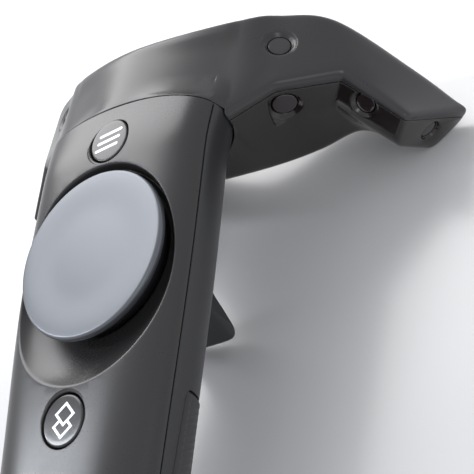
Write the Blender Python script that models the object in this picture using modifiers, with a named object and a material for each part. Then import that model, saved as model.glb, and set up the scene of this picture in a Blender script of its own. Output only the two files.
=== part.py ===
"""VR motion controller: lofted handle and winged sensor head, with a clicking trackpad,
two face buttons, a hinged trigger and two squeeze buttons.

Lengths are millimetres in the controller's own axes: X to the right, Y along the handle
toward the head, Z out of the trackpad face, origin at the centre of the trackpad's top.
The whole controller hangs from one empty that lays it down on its back.
"""
import math

import bmesh
import bpy
from mathutils import Vector

MM = 0.001

# Handle
HANDLE_TAIL = 125.0        # trackpad centre to the end of the handle
PAD_R = 18.0
PAD_MARGIN = 4.3           # handle wider than the trackpad, each side
GRIP_HALF_WIDTH = PAD_R + PAD_MARGIN
NECK_FLARE = 1.3           # widening of the handle at the head
NECK_HALF_WIDTH = GRIP_HALF_WIDTH + NECK_FLARE
TAIL_HALF_WIDTH = 18.9
TAPER_TOP = 5.0            # where the handle starts to slim below the trackpad
TAPER_LENGTH = 65.0
HANDLE_DEPTH = 24.8        # trackpad face to the handle's back
WALL = 2.0
SEAM_RISE = 2.8            # front/back seam above the widest line
GAP = 0.3                  # between neighbouring pieces
CAP_LENGTH = 7.0           # closing plug at the tail
MENU_Y = PAD_R + 7.7       # button centres, clear of the trackpad's scoop
SYSTEM_Y = -PAD_R - 15.1
NECK_APEX = MENU_Y + 9.3   # top of the arched seam between handle and head
NECK_ARCH = 70.0           # radius of that arch

# Head
HEAD_HALF_SPAN = 60.5      # centre to the outer corner of a wing tip
HEAD_WALL = 1.8
RIM_DEPTH = 2.4            # face shell depth below the rim
WINDOW_R = 2.25
DIMPLE_R = 3.5

# Controls
PAD_THICK = 2.2
PAD_TRAVEL = 0.5
SKIRT_R = 15.6
BUTTON_R = 4.9
BUTTON_TRAVEL = 0.4
TRIGGER_HALF_WIDTH = 8.5
TRIGGER_PIVOT = (10.0, 6.8 - HANDLE_DEPTH)
PIN_R = 1.2
BRACKET_HALF = TRIGGER_HALF_WIDTH + 3.6
GRIP_TOP = -26.8
GRIP_LENGTH = 36.0
GRIP_HIGH = -10.2
GRIP_LOW = -19.6
GRIP_TRAVEL = 0.8

# Lying pose: tilt about X, then slide and lift to stand on the ground plane
REST_TILT = math.radians(8.466)
REST_SHIFT = (30.013, 42.105)

for old in list(bpy.data.objects):
    bpy.data.objects.remove(old, do_unlink=True)

scene = bpy.context.scene
parts = bpy.data.collections.new("controller_parts")
tools = bpy.data.collections.new("cutters")
scene.collection.children.link(parts)
scene.collection.children.link(tools)

root = bpy.data.objects.new("controller_root", None)
root.rotation_euler = (REST_TILT, 0.0, 0.0)
root.location = (0.0, REST_SHIFT[0] * MM, REST_SHIFT[1] * MM)
parts.objects.link(root)


def material(name, colour, rough=0.5, metal=0.0):
    mat = bpy.data.materials.new(name)
    mat.use_nodes = True
    bsdf = mat.node_tree.nodes["Principled BSDF"]
    bsdf.inputs["Base Color"].default_value = (*colour, 1.0)
    bsdf.inputs["Roughness"].default_value = rough
    bsdf.inputs["Metallic"].default_value = metal
    return mat


def add_object(name, mesh, mat=None, parent=None, centre=(0.0, 0.0, 0.0)):
    """Link a part, or a cutter when it has no material, at its place under its parent."""
    obj = bpy.data.objects.new(name, mesh)
    if mat is None:
        tools.objects.link(obj)
        obj.hide_render = True
        obj.display_type = "WIRE"
    else:
        mesh.materials.append(mat)
        parts.objects.link(obj)
    obj.parent = parent or root
    obj.location = Vector(centre) * MM
    if parent is not None:
        obj.location -= parent.location
    return obj


def carried(obj, axis):
    """Hand a piece or its cutter over to a moving body's empty."""
    obj.parent = axis
    obj.location -= axis.location
    return obj


def loft(name, rings, mat=None, parent=None):
    """A closed skin through rings of equal count, each end closed by a fan."""
    mesh = bpy.data.meshes.new(name)
    bm = bmesh.new()
    rows = [[bm.verts.new(Vector(v) * MM) for v in ring] for ring in rings]
    for low, high in zip(rows, rows[1:]):
        for i in range(len(low)):
            bm.faces.new((low[i - 1], low[i], high[i], high[i - 1]))
    for row in (rows[0], rows[-1]):
        hub = bm.verts.new(sum((v.co for v in row), Vector()) / len(row))
        for i in range(len(row)):
            bm.faces.new((row[i - 1], row[i], hub))
    bmesh.ops.triangulate(bm, faces=bm.faces)
    bmesh.ops.recalc_face_normals(bm, faces=bm.faces)
    bm.to_mesh(mesh)
    bm.free()
    return add_object(name, mesh, mat, parent)


def prism(name, outline, axis, low, high, mat=None, parent=None):
    """A flat outline pushed straight along X, Y or Z."""
    mesh = bpy.data.meshes.new(name)
    bm = bmesh.new()
    spot = {0: lambda a, b: (low, a, b), 1: lambda a, b: (a, low, b), 2: lambda a, b: (a, b, low)}[axis]
    base = bm.faces.new([bm.verts.new(Vector(spot(a, b)) * MM) for a, b in outline])
    pushed = bmesh.ops.extrude_face_region(bm, geom=[base])
    step = [0.0, 0.0, 0.0]
    step[axis] = (high - low) * MM
    bmesh.ops.translate(bm, vec=step, verts=[v for v in pushed["geom"] if isinstance(v, bmesh.types.BMVert)])
    bmesh.ops.triangulate(bm, faces=bm.faces)
    bmesh.ops.recalc_face_normals(bm, faces=bm.faces)
    bm.to_mesh(mesh)
    bm.free()
    return add_object(name, mesh, mat, parent)


def box(name, x, y, z, mat=None, parent=None):
    mesh = bpy.data.meshes.new(name)
    bm = bmesh.new()
    bmesh.ops.create_cube(bm, size=MM)
    bmesh.ops.scale(bm, vec=(x[1] - x[0], y[1] - y[0], z[1] - z[0]), verts=bm.verts)
    bm.to_mesh(mesh)
    bm.free()
    centre = [(span[0] + span[1]) / 2 for span in (x, y, z)]
    return add_object(name, mesh, mat, parent, centre)


def turned(name, centre, direction, profile, count, mat=None, parent=None):
    """A cylinder, or a profile of (radius, height) pairs spun by a Screw modifier."""
    mesh = bpy.data.meshes.new(name)
    bm = bmesh.new()
    plain = len(profile) == 2
    if plain:
        (r0, h0), (r1, h1) = profile
        bmesh.ops.create_cone(bm, cap_ends=True, segments=count, radius1=r0 * MM, radius2=r1 * MM,
                              depth=(h1 - h0) * MM)
        bmesh.ops.translate(bm, vec=(0.0, 0.0, (h0 + h1) / 2 * MM), verts=bm.verts)
    else:
        outline = [(0.0, profile[0][1])] + list(profile) + [(0.0, profile[-1][1])]
        row = [bm.verts.new((radius * MM, 0.0, height * MM)) for radius, height in reversed(outline)]
        for top, bottom in zip(row, row[1:]):
            bm.edges.new((top, bottom))
    bm.to_mesh(mesh)
    bm.free()
    obj = add_object(name, mesh, mat, parent, centre)
    obj.rotation_euler = Vector(direction).to_track_quat("Z", "Y").to_euler()
    if not plain:
        spin = obj.modifiers.new("spin", "SCREW")
        spin.steps = spin.render_steps = count
        spin.use_merge_vertices = True
        spin.merge_threshold = 0.001 * MM
    return obj


def boolean(obj, tool, kind="DIFFERENCE"):
    mod = obj.modifiers.new(kind.lower() + "_" + tool.name, "BOOLEAN")
    mod.operation = kind
    mod.object = tool
    mod.solver = "EXACT"
    return obj


def tidy(obj):
    """Joins corners that a cut left closer together than a hundredth of a millimetre."""
    weld = obj.modifiers.new("tidy", "WELD")
    weld.merge_threshold = 0.01 * MM


def mix(a, b, t):
    return a + (b - a) * t


def ease(t):
    t = min(1.0, max(0.0, t))
    return t * t * (3 - 2 * t)


# ---------------------------------------------------------------- handle skin
def handle_section(y):
    """Half width, crown, widest line, back and the two superellipse powers at one height."""
    tail = ease((TAPER_TOP - y) / TAPER_LENGTH)
    heel = ease((50.0 - HANDLE_TAIL - y) / 50.0)
    neck = ease((y - NECK_APEX + 14.0) / 19.0)
    half = mix(GRIP_HALF_WIDTH, TAIL_HALF_WIDTH, tail) + NECK_FLARE * neck - 1.2 * heel
    crown = -1.6 * tail - 2.0 * neck - 0.8 * heel
    widest = -8.0 - 2.3 * tail - neck - 0.6 * heel
    back = -HANDLE_DEPTH - 1.5 * tail + 2.0 * heel
    return half, crown, widest, back, 3.2 - 0.27 * tail - 0.5 * neck, 1.95


def front_height(x, y):
    half, crown, widest, _, power, _ = handle_section(y)
    t = min(1.0, abs(x) / half)
    return widest + (crown - widest) * max(0.0, 1 - t ** power) ** (1 / power)


def back_inside(x, y):
    """Inner face of the back wall at one place."""
    half, _, widest, back, _, power = handle_section(y)
    t = min(1.0, abs(x) / (half - WALL))
    return widest - (widest - back - WALL) * (1 - t ** power) ** (1 / power)


def side_inside(y, z):
    """Inner face of the side wall below the widest line."""
    half, _, widest, back, _, power = handle_section(y)
    t = min(1.0, (widest - z) / (widest - back - WALL))
    return (half - WALL) * (1 - t ** power) ** (1 / power)


def seam_height(y):
    return handle_section(y)[2] + SEAM_RISE


def handle_ring(y, inset=0.0, count=48, squeeze=0.0):
    half, crown, widest, back, nf, nb = handle_section(y)
    half -= inset + squeeze
    up = crown - inset - squeeze - widest
    down = widest - (back + inset + squeeze)
    ring = []
    for i in range(count):
        t = 2 * math.pi * i / count
        c, s = math.cos(t), math.sin(t)
        power = nf if s >= 0 else nb
        x = half * math.copysign(abs(c) ** (2 / power), c)
        z = widest + (up if s >= 0 else down) * math.copysign(abs(s) ** (2 / power), s)
        ring.append((x, y, z))
    return ring


def spread(low, high, count):
    return [mix(low, high, i / (count - 1)) for i in range(count)]


def neck_arch(x, shift=0.0):
    r = NECK_ARCH + shift
    return NECK_APEX - NECK_ARCH + math.sqrt(r * r - x * x)


def handle_skin(name, inset=0.0, tail=-HANDLE_TAIL, top=NECK_APEX + 4.0, count=48, mat=None):
    return loft(name, [handle_ring(y, inset, count) for y in spread(tail, top, 17)], mat)


def arch_block(name, shift):
    xs = spread(-32.0, 32.0, 25)
    outline = [(x, neck_arch(x, shift)) for x in xs]
    outline += [(32.0, -HANDLE_TAIL - 9.0), (-32.0, -HANDLE_TAIL - 9.0)]
    return prism(name, outline, 2, -60.0, 20.0)


def face_block(name, shift):
    ys = spread(-HANDLE_TAIL - 4.0, NECK_APEX + 6.0, 13)
    outline = [(y, seam_height(y) + shift) for y in ys]
    outline += [(NECK_APEX + 6.0, 25.0), (-HANDLE_TAIL - 4.0, 25.0)]
    return prism(name, outline, 0, -40.0, 40.0)


# ---------------------------------------------------------------- head skin
RISE = NECK_APEX - 35.0    # the head follows the handle's arched seam
FLARE = NECK_HALF_WIDTH - 23.6
REACH = (HEAD_HALF_SPAN - 23.4 - FLARE) / 37.1


def wing(x, y, z):
    """Wing corners spread between the neck and the head's span."""
    return Vector((23.4 + FLARE + (x - 23.4) * REACH, y + RISE, z))


def neck(x, y, z):
    """Corners beside the handle follow its width."""
    return Vector((x + (FLARE if x else 0.0), y + RISE, z))


# Each section runs rim, web, underside, back, outer edge.
CENTRE_BACK = [neck(0.0, 29.0, -12.0), neck(0.0, 24.5, -24.0), neck(0.0, 51.0, -40.0), neck(0.0, 52.0, -3.2)]
NECK_SECTION = [neck(23.4, 29.6, -8.4), neck(21.6, 30.2, -17.0), neck(18.4, 31.3, -33.4),
                neck(22.0, 55.4, -45.0), neck(23.2, 56.0, -10.0)]
SHOULDER_SECTION = [wing(31.8, 37.2, -12.9), wing(28.4, 36.2, -20.4), wing(28.1, 36.2, -38.7),
                    wing(31.0, 56.8, -46.0), wing(30.6, 57.7, -14.6)]
CORNER_SECTION = [wing(43.6, 41.3, -20.5), wing(38.0, 38.5, -26.2), wing(36.6, 40.4, -41.4),
                  wing(40.5, 54.0, -46.6), wing(40.8, 56.4, -20.2)]
ARM_SECTION = [wing(48.9, 36.7, -24.5), wing(43.1, 34.3, -30.8), wing(43.8, 38.7, -45.0),
               wing(49.7, 47.6, -47.4), wing(52.5, 48.8, -34.3)]
TIP_SECTION = [wing(53.9, 32.2, -28.5), wing(48.3, 30.1, -35.5), wing(51.0, 36.2, -48.5),
               wing(57.6, 41.0, -48.0), wing(60.5, 42.8, -46.4)]
KNOTS = [NECK_SECTION, SHOULDER_SECTION, CORNER_SECTION, ARM_SECTION, TIP_SECTION]


def rim_on_handle(x):
    y = neck_arch(x) - 1.5
    return Vector((x, y, front_height(x, y)))


def curve(a, b, c, d, t):
    """Smooth run from b to c with neighbours a and d."""
    return 0.5 * ((2 * b) + (c - a) * t + (2 * a - 5 * b + 4 * c - d) * t * t
                  + (3 * b - a - 3 * c + d) * t ** 3)


def head_section(u):
    """Five corners at station u: 0 centre, 1 neck, 2 shoulder, 3 corner, 4 arm, 5 tip."""
    points = []
    k = min(4, int(u))
    t = u - k
    for corner in range(5):
        track = [knot[corner] for knot in KNOTS]
        if corner > 0:
            start = CENTRE_BACK[corner - 1]
        else:
            start = rim_on_handle(0.0)
        track = [Vector((-track[0].x, track[0].y, track[0].z)), start] + track
        track.append(track[-1] * 2 - track[-2])
        if corner == 0 and k == 0:
            points.append(rim_on_handle(NECK_SECTION[0].x * t))
        elif corner < 2 and k > 0:
            points.append(track[k + 1].lerp(track[k + 2], t))
        else:
            points.append(curve(track[k], track[k + 1], track[k + 2], track[k + 3], t))
    return points


CORNER_ROUNDING = (1.1, 0.9, 2.2, 3.0, 2.6)


def rounded(points, radii, steps=3):
    ring = []
    n = len(points)
    for i, p in enumerate(points):
        before, after = points[i - 1] - p, points[(i + 1) % n] - p
        reach = min(radii[i], 0.45 * before.length, 0.45 * after.length)
        a, b = p + before.normalized() * reach, p + after.normalized() * reach
        for s in range(steps):
            t = s / (steps - 1)
            ring.append((1 - t) ** 2 * a + 2 * t * (1 - t) * p + t * t * b)
    return ring


def shrunk(points, inset):
    """Every corner moved inward so that each side moves by the inset."""
    n = len(points)
    middle = sum(points, Vector()) / n
    normal = Vector()
    for i in range(n):
        normal += (points[i] - middle).cross(points[(i + 1) % n] - middle)
    normal.normalize()
    moved = []
    for i, p in enumerate(points):
        e0 = (p - points[i - 1]).normalized()
        e1 = (points[(i + 1) % n] - p).normalized()
        n0, n1 = normal.cross(e0), normal.cross(e1)
        away = (n0 + n1)
        away /= max(0.45, away.length_squared / 2)
        moved.append(p + away * inset)
    return moved


def mirrored(points):
    return [Vector((-p.x, p.y, p.z)) for p in points]


STATIONS = [0.0, 0.25, 0.5, 0.75, 1.0, 1.35, 1.7, 2.0, 2.35, 2.7, 2.9, 3.0, 3.1, 3.35, 3.7, 4.0, 4.5]


def head_loft(name, shape, end, mat=None):
    """Sweep of shape(section) from the left tip to the right tip."""
    stations = [u for u in STATIONS if u < end - 0.02] + [end]
    right = [shape(head_section(u)) for u in stations]
    left = [mirrored(ring) for ring in reversed(right[1:])]
    return loft(name, left + right, mat)


def head_skin(name, mat=None):
    stations = STATIONS + [4.93, 5.0]
    right = []
    for u in stations:
        section = head_section(min(u, 5.0))
        right.append(rounded(shrunk(section, 0.5) if u == 5.0 else section, CORNER_ROUNDING))
    left = [mirrored(ring) for ring in reversed(right[1:])]
    return loft(name, left + right, mat)


def cavity_shape(section):
    return rounded(shrunk(section, HEAD_WALL), (0.8, 0.8, 1.5, 2.0, 1.6))


def layer_shape(depth):
    def shape(section):
        rim, web, low, back, outer = section
        inward = (low - rim).normalized() * depth
        edge = (back - outer).normalized() * depth
        face = (outer - rim).normalized()
        lift = (web - rim).cross(face)
        up = face.cross((section[2] - rim).cross(face)).normalized()
        up = -inward.normalized() if up.length < 0.5 else up
        out_low, out_high = rim + inward - face * 6, outer + edge + face * 6
        return [out_low, out_high, out_high - edge.normalized() * 12, out_low - inward.normalized() * 12]
    return shape


def on_head(u, edge, along):
    """Point and outward normal on one side of the head skin."""
    def at(station):
        section = head_section(station)
        return section[edge].lerp(section[(edge + 1) % 5], along)
    section = head_section(u)
    middle = sum(section, Vector()) / 5
    across = section[(edge + 1) % 5] - section[edge]
    normal = across.cross(at(u + 0.05) - at(u - 0.05)).normalized()
    if normal.dot(at(u) - middle) < 0:
        normal.negate()
    return at(u), normal


def tip_window():
    p = TIP_SECTION
    centre = p[0] * 0.22 + p[1] * 0.18 + p[4] * 0.25 + p[2] * 0.35
    normal = (p[1] - p[0]).cross(p[4] - p[0]).normalized()
    if normal.dot(p[0] - CORNER_SECTION[0]) < 0:
        normal.negate()
    return centre, normal


# Window name, place on the skin, dimple scale and which shell carries it
WINDOWS = [("face", on_head(2.03, 4, 0.45), 1.0, "top"),
           ("under", on_head(2.12, 0, 0.86), 1.15, "bottom"),
           ("arm", on_head(3.8, 0, 0.48), 0.9, "bottom"),
           ("tip", tip_window(), 0.8, "bottom"),
           ("crest", on_head(2.88, 3, 0.82), 0.85, "bottom"),
           ("edge", on_head(4.3, 3, 0.45), 0.7, "bottom")]

# ---------------------------------------------------------------- materials
SHELL = material("satin_gunmetal", (0.11, 0.112, 0.118), 0.34, 0.55)
BACK = material("soft_touch_back", (0.075, 0.075, 0.08), 0.45, 0.3)
UNDER = material("gloss_black", (0.022, 0.018, 0.018), 0.22, 0.1)
PAD = material("silver_satin", (0.33, 0.35, 0.38), 0.38, 0.75)
DARK = material("black_polymer", (0.018, 0.018, 0.02), 0.45)
KEYCAP = material("gloss_keycap", (0.03, 0.03, 0.033), 0.25, 0.2)
GLYPH = material("light_guide_white", (0.88, 0.9, 0.93), 0.4)
STEEL = material("spring_steel", (0.55, 0.55, 0.56), 0.3, 1.0)
BOARD = material("circuit_board", (0.015, 0.09, 0.04), 0.5)
CHIP = material("chip_epoxy", (0.02, 0.02, 0.022), 0.5)
CAN = material("shield_can", (0.6, 0.6, 0.58), 0.35, 0.9)
CELL = material("battery_wrap", (0.03, 0.12, 0.3), 0.5)
MAGNET = material("nickel_magnet", (0.5, 0.5, 0.5), 0.2, 1.0)
FLEX = material("flex_polyimide", (0.5, 0.22, 0.03), 0.4)
LENS = material("infrared_window", (0.03, 0.022, 0.026), 0.15)
RUBBER = material("grip_rubber", (0.03, 0.03, 0.032), 0.6)


def moving(name, at):
    """Empty at a joint that carries one moving body."""
    empty = bpy.data.objects.new(name, None)
    empty.location = Vector(at) * MM
    empty.parent = root
    parts.objects.link(empty)
    return empty


pad_axis = moving("trackpad_axis", (0, 0, 0))
menu_axis = moving("menu_axis", (0, MENU_Y, front_height(0, MENU_Y)))
system_axis = moving("system_axis", (0, SYSTEM_Y, front_height(0, SYSTEM_Y)))
trigger_axis = moving("trigger_hinge", (0, *TRIGGER_PIVOT))
GRIP_MID = GRIP_TOP - GRIP_LENGTH / 2
left_axis = moving("left_grip_axis", (-GRIP_HALF_WIDTH, GRIP_MID, (GRIP_HIGH + GRIP_LOW) / 2))
right_axis = moving("right_grip_axis", (GRIP_HALF_WIDTH, GRIP_MID, (GRIP_HIGH + GRIP_LOW) / 2))


# ---------------------------------------------------------------- handle shells
def oval(cx, cy, ax, ay, heights, tilt=0.0, count=48):
    ring = []
    for i in range(count):
        t = 2 * math.pi * i / count
        x, y = cx + ax * math.cos(t), cy + ay * math.sin(t)
        ring.append((x, y, heights + tilt * (y - cy)))
    return ring


SCOOP_MID = -3.8
SCOOP_HALF = PAD_R + 3.0
scoop = loft("scoop_tool", [oval(0, SCOOP_MID, SCOOP_HALF - 2.5, SCOOP_HALF + 0.3, -4.7, 0.058),
                            oval(0, SCOOP_MID, SCOOP_HALF, SCOOP_HALF + 2.1, -0.6, 0.0),
                            oval(0, SCOOP_MID, SCOOP_HALF + 2.2, SCOOP_HALF + 4.8, 6.0, 0.0)])
scoop_boss = loft("scoop_boss", [oval(0, SCOOP_MID, SCOOP_HALF - 1.9, SCOOP_HALF + 1.0, -7.6),
                                 oval(0, SCOOP_MID, SCOOP_HALF - 1.9, SCOOP_HALF + 1.4, -4.95),
                                 oval(0, SCOOP_MID, SCOOP_HALF - 0.9, SCOOP_HALF + 1.8, -4.3),
                                 oval(0, SCOOP_MID, SCOOP_HALF - 3.0, SCOOP_HALF + 1.9, -1.2)])
pad_hole = turned("pad_hole", (0, 0, 0), (0, 0, 1), [(SKIRT_R + 0.8, -12), (SKIRT_R + 0.8, 4)], 53)
menu_hole = turned("menu_hole", (0, MENU_Y, 0), (0, 0, 1),
                  [(BUTTON_R + 0.35, -12), (BUTTON_R + 0.35, 4)], 36)
system_hole = turned("system_hole", (0, SYSTEM_Y, 0), (0, 0, 1),
                    [(BUTTON_R + 0.35, -12), (BUTTON_R + 0.35, 4)], 36)
hollow = handle_skin("handle_hollow", WALL, -HANDLE_TAIL - 1.0, NECK_APEX + 8.0, 36)
face_side = face_block("face_side", GAP / 2)
face_side_gap = face_block("face_side_gap", -GAP / 2)
below_arch = arch_block("below_arch", -GAP / 2)
below_arch_gap = arch_block("below_arch_gap", GAP / 2)

tail_y = -HANDLE_TAIL + CAP_LENGTH
front_shell = handle_skin("front_shell", 0.0, tail_y, mat=SHELL)
for tool, kind in ((face_side, "INTERSECT"), (below_arch, "INTERSECT"), (hollow, "DIFFERENCE"),
                   (scoop_boss, "UNION"), (pad_hole, "DIFFERENCE"), (scoop, "DIFFERENCE"),
                   (menu_hole, "DIFFERENCE"), (system_hole, "DIFFERENCE")):
    boolean(front_shell, tool, kind)

back_shell = handle_skin("back_shell", 0.0, tail_y, mat=BACK)
trigger_slot = box("trigger_slot", (-TRIGGER_HALF_WIDTH - 0.6, TRIGGER_HALF_WIDTH + 0.6),
                   (-19.5, TRIGGER_PIVOT[0] - 0.7), (TRIGGER_PIVOT[1] - 18.0, TRIGGER_PIVOT[1] + 2.0))
for tool, kind in ((face_side_gap, "DIFFERENCE"), (below_arch, "INTERSECT"), (hollow, "DIFFERENCE"),
                   (trigger_slot, "DIFFERENCE")):
    boolean(back_shell, tool, kind)

for side, name in ((-1, "left"), (1, "right")):
    x = sorted((side * 8.0, side * 40.0))
    y = (GRIP_TOP - GRIP_LENGTH, GRIP_TOP)
    window = box(name + "_grip_slot", x, (y[0] - GAP, y[1] + GAP), (GRIP_LOW - GAP, GRIP_HIGH + GAP))
    boolean(back_shell, window)
    pad = handle_skin(name + "_grip_button", -0.35, -100.0, 0.0, 48, RUBBER)
    block = box(name + "_grip_block", x, y, (GRIP_LOW, GRIP_HIGH))
    core = handle_skin(name + "_grip_core", WALL, -110.0, 10.0, 40)
    boolean(pad, block, "INTERSECT")
    boolean(pad, core)
    axis = left_axis if side < 0 else right_axis
    carried(pad, axis)
    behind = side_inside(GRIP_MID - 3.0, -16.5) - GRIP_TRAVEL - 0.4
    box(name + "_grip_switch", sorted((side * (behind - 1.8), side * behind)), (GRIP_MID - 3, GRIP_MID + 3),
        (-16.5, -13.0), CHIP)

# Screws from the back into posts on the front shell
for name, y in (("upper", -65.5), ("lower", -112.3)):
    _, crown, _, back, _, _ = handle_section(y)
    post = turned(name + "_post", (0, y, 0), (0, 0, 1), [(2.6, back + 7.0), (2.6, crown - 1.0)], 17)
    pilot = turned(name + "_pilot", (0, y, 0), (0, 0, 1), [(1.3, back - 1.0), (1.3, crown - 4.0)], 16)
    boolean(front_shell, post, "UNION")
    boolean(front_shell, pilot)
    lug = turned(name + "_lug", (0, y, 0), (0, 0, 1), [(3.6, back + 1.2), (3.6, back + 6.6)], 23)
    sink = turned(name + "_sink", (0, y, 0), (0, 0, 1), [(2.4, back - 2.0), (2.4, back + 3.4)], 20)
    bore = turned(name + "_bore", (0, y, 0), (0, 0, 1), [(1.4, back - 2.0), (1.4, back + 9.0)], 16)
    boolean(back_shell, lug, "UNION")
    boolean(back_shell, sink)
    boolean(back_shell, bore)
    turned("screw_" + name, (0, y, 0), (0, 0, 1),
          [(2.0, back + 1.2), (2.0, back + 3.1), (1.0, back + 3.1), (1.0, back + 15.0)], 16, STEEL)

tidy(front_shell)
tidy(back_shell)

# Tail plug with the charging socket
cap_rings = [handle_ring(-HANDLE_TAIL, squeeze=2.4), handle_ring(-HANDLE_TAIL + 0.7, squeeze=0.9),
             handle_ring(-HANDLE_TAIL + 2.4), handle_ring(tail_y - GAP)]
end_cap = loft("end_cap", cap_rings, SHELL)
port_z = handle_section(-HANDLE_TAIL)[2] - 4.0
boolean(end_cap, box("port_hole", (-5.0, 5.0), (-HANDLE_TAIL - 2, tail_y + 2), (port_z - 2.1, port_z + 2.1)))
usb_port = box("usb_port", (-4.6, 4.6), (-HANDLE_TAIL + 0.4, tail_y + 1.5), (port_z - 1.7, port_z + 1.7), STEEL)
socket = box("port_socket", (-4.1, 4.1), (-HANDLE_TAIL - 1, tail_y - 1.0), (port_z - 1.2, port_z + 1.2))
boolean(socket, box("port_tongue", (-3.0, 3.0), (-HANDLE_TAIL + 1.4, tail_y), (port_z - 0.35, port_z + 0.35)))
boolean(usb_port, socket)

# ---------------------------------------------------------------- head shells
head_hollow = head_loft("head_hollow", cavity_shape, 4.82)
face_layer = head_loft("face_layer", layer_shape(RIM_DEPTH), 5.2)
face_layer_gap = head_loft("face_layer_gap", layer_shape(RIM_DEPTH + GAP), 5.2)
neck_tool = handle_skin("neck_tool", -GAP, -20.0, NECK_APEX + 3.0)
boolean(neck_tool, below_arch_gap, "INTERSECT")

head_top = head_skin("head_top_shell", SHELL)
head_bottom = head_skin("head_bottom_shell", UNDER)
for name, (centre, normal), scale, carrier in WINDOWS:
    for side, tag in ((1, "right"), (-1, "left")):
        at = Vector((side * centre.x, centre.y, centre.z))
        out = Vector((side * normal.x, normal.y, normal.z))
        wide, lens = DIMPLE_R * scale, WINDOW_R * scale
        hole = turned(f"{tag}_{name}_dimple", at, out,
                     [(lens + GAP, -5.0), (lens + GAP, -0.95), (wide, 0.05), (wide + 0.9, 1.0)], 28)
        boolean(head_top if carrier == "top" else head_bottom, hole)
        turned(f"window_{name}_{tag}", at, out, [(lens, -2.6), (lens, -0.8)], 24, LENS)

boolean(head_top, neck_tool)
boolean(head_bottom, neck_tool)
boolean(head_top, face_layer, "INTERSECT")
boolean(head_bottom, face_layer_gap)
boolean(head_top, head_hollow)
boolean(head_bottom, head_hollow)
tidy(head_top)
tidy(head_bottom)

# ---------------------------------------------------------------- trackpad
disc = turned("trackpad_disc", (0, 0, 0), (0, 0, 1),
             [(PAD_R - 0.9, -PAD_THICK), (PAD_R, -PAD_THICK + 0.7), (PAD_R, -0.45), (PAD_R - 0.35, -0.08),
              (PAD_R - 0.9, 0.0), (PAD_R * 0.5, -0.3)], 72, PAD, pad_axis)
skirt = turned("trackpad_skirt", (0, 0, 0), (0, 0, 1),
              [(3.0, -6.8), (3.0, -5.9), (SKIRT_R - 1.8, -5.9), (SKIRT_R, -PAD_THICK - GAP)], 48, DARK, pad_axis)
turned("trackpad_frame", (0, 0, 0), (0, 0, 1), [(17.2, -9.8), (17.2, -8.2)], 40, DARK)
box("trackpad_switch", (-2.6, 2.6), (-2.6, 2.6), (-7.9, -7.35), STEEL)

# ---------------------------------------------------------------- face buttons
for name, y, axis in (("menu", MENU_Y, menu_axis), ("system", SYSTEM_Y, system_axis)):
    top = front_height(0, y) - 0.12
    cap = turned(name + "_button", (0, y, top), (0, 0, 1),
                [(1.6, -5.2), (1.6, -2.2), (BUTTON_R, -2.2), (BUTTON_R, -0.35), (BUTTON_R - 0.35, 0.0)],
                36, KEYCAP, axis)
    recess = turned(name + "_recess", (0, y, top), (0, 0, 1), [(3.9, -0.7), (3.9, 1.0)], 28)
    boolean(cap, carried(recess, axis))
    guide = turned(name + "_icon", (0, y, top), (0, 0, 1), [(3.6, -0.4), (3.6, -0.22)], 28, GLYPH, axis)
    bars = []
    if name == "menu":
        for k in (-1, 0, 1):
            bars.append([(-2.3, k * 1.35 - 0.4), (2.3, k * 1.35 - 0.4), (2.3, k * 1.35 + 0.4), (-2.3, k * 1.35 + 0.4)])
    else:
        for cx, cy in ((-0.75, -0.75), (0.75, 0.75)):
            bars.append([(cx, cy - 1.6), (cx + 1.6, cy), (cx, cy + 1.6), (cx - 1.6, cy)])
    for k, outline in enumerate(bars):
        placed = [(a, b + y) for a, b in outline]
        bar = prism(f"{name}_bar_{k}", placed, 2, top - 0.3, top - 0.02)
        boolean(guide, carried(bar, axis), "UNION")
    box(name + "_switch", (-2.2, 2.2), (y - 2.2, y + 2.2), (top - 7.4, top - 5.7), CHIP)

# ---------------------------------------------------------------- trigger
py, pz = TRIGGER_PIVOT
deepest = back_inside(TRIGGER_HALF_WIDTH, py) + 0.1
profile = [(py + 1.0, pz + 3.4), (py + 3.0, pz + 1.6), (py + 3.2, pz - 0.6), (py + 2.0, max(pz - 2.4, deepest)),
           (py - 0.8, max(pz - 3.5, deepest)), (5.4, pz - 7.8), (1.8, pz - 12.0), (-0.6, pz - 16.5), (-2.2, pz - 19.4),
           (-3.4, pz - 21.2), (-4.8, pz - 21.6), (-6.2, pz - 20.4), (-8.4, pz - 16.8), (-11.0, pz - 12.4),
           (-14.6, pz - 8.6), (-16.6, pz - 6.0), (-16.2, pz - 3.4), (-12.0, pz - 1.0), (-3.0, pz + 1.2),
           (py - 5.0, pz + 2.0)]
trigger = prism("trigger", profile, 0, -TRIGGER_HALF_WIDTH, TRIGGER_HALF_WIDTH, DARK, trigger_axis)
edge = trigger.modifiers.new("edge", "BEVEL")
edge.width = 0.8 * MM
edge.segments = 1
edge.limit_method = "ANGLE"
edge.angle_limit = math.radians(50)


boolean(trigger, carried(turned("trigger_bore", (0, py, pz), (1, 0, 0),
                                  [(PIN_R + GAP, -12), (PIN_R + GAP, 12)], 20), trigger_axis))
boolean(trigger, carried(box("magnet_pocket", (-2.6, 2.6), (-10.6, -5.4), (pz - 5.6, pz + 4.0)), trigger_axis))
box("trigger_magnet", (-2.3, 2.3), (-10.3, -5.7), (pz - 5.3, pz - 3.5), MAGNET, trigger_axis)
pin_half = min(BRACKET_HALF + 0.2, side_inside(py, pz - PIN_R) - 0.2)
turned("trigger_pin", (0, py, pz), (1, 0, 0), [(PIN_R, -pin_half), (PIN_R, pin_half)], 20, STEEL)
bracket = box("trigger_bracket", (-BRACKET_HALF, BRACKET_HALF), (py - 4.0, py + 4.0),
              (max(pz - 2.0, back_inside(BRACKET_HALF, py) + 0.2), pz + 5.2), STEEL)
boolean(bracket, box("bracket_throat", (-BRACKET_HALF + 1.6, BRACKET_HALF - 1.6), (py - 9, py + 9), (pz - 9, pz + 4.0)))
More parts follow.
